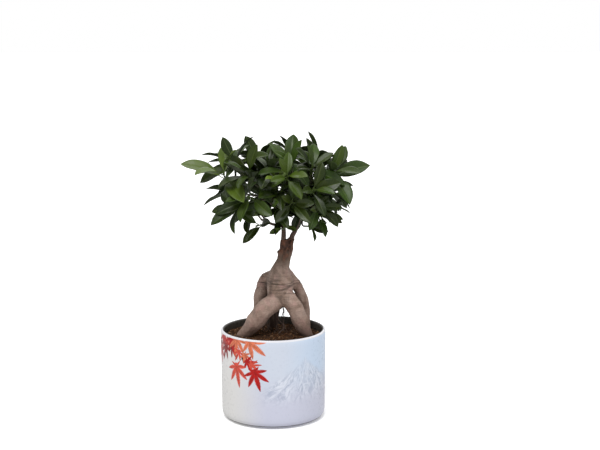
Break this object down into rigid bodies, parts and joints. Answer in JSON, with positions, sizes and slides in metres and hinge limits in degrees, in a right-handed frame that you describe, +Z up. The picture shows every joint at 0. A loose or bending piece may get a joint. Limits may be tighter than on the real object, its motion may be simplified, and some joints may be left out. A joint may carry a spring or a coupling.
{
  "type": "bonsai tree in a pot",
  "caption": "Grafted bonsai fig with thick aerial roots and a dense crown of oval leaves, in soil in a glazed ceramic pot with a printed autumn scene.",
  "frame": {"origin": "centre of the pot's flat underside", "axes": "+Z up along the pot's axis; -Y is the front of the tree; +X to its right"},
  "size_m": [0.2267, 0.178, 0.3517],
  "materials": {
    "glaze": "glossy glaze with a printed maple sprig and a pale mountain",
    "soil": "loose dark peat with bark chips and fibres",
    "bark": "smooth grey-brown bark with fine creases",
    "branch": "brown young bark",
    "leaf": "glossy leathery dark green leaf"
  },
  "bodies": {
    "root": {"pot": "glaze", "rootstock": "bark", "scion_left": "branch", "scion_right": "branch", "shoot_back_left": "leaf", "shoot_back_middle": "leaf", "shoot_back_right": "leaf", "shoot_bottom_right": "leaf", "shoot_centre_left": "leaf", "shoot_far_left": "leaf", "shoot_front_left": "leaf", "shoot_front_left_high": "leaf", "shoot_front_low": "leaf", "shoot_front_middle": "leaf", "shoot_front_right_high": "leaf", "shoot_front_right_low": "leaf", "shoot_heart_left": "leaf", "shoot_heart_low_left": "leaf", "shoot_heart_low_right": "leaf", "shoot_heart_right": "leaf", "shoot_inner_back_left": "leaf", "shoot_inner_back_right": "leaf", "shoot_inner_left": "leaf", "shoot_inner_right": "leaf", "shoot_left_back": "leaf", "shoot_left_hanging": "leaf", "shoot_left_low": "leaf", "shoot_left_middle": "leaf", "shoot_low_back": "leaf", "shoot_low_back_left": "leaf", "shoot_low_back_right": "leaf", "shoot_low_left": "leaf", "shoot_low_middle": "leaf", "shoot_low_right": "leaf", "shoot_middle": "leaf", "shoot_middle_back": "leaf", "shoot_middle_right": "leaf", "shoot_right_back": "leaf", "shoot_right_high_back": "leaf", "shoot_right_low": "leaf", "shoot_right_middle": "leaf", "shoot_stump": "leaf", "shoot_top_back": "leaf", "shoot_top_left": "leaf", "shoot_top_left_back": "leaf", "shoot_top_middle": "leaf", "shoot_top_right": "leaf", "shoot_top_right_back": "leaf", "shoot_young": "leaf", "soil": "soil"}
  },
  "joints": []
}
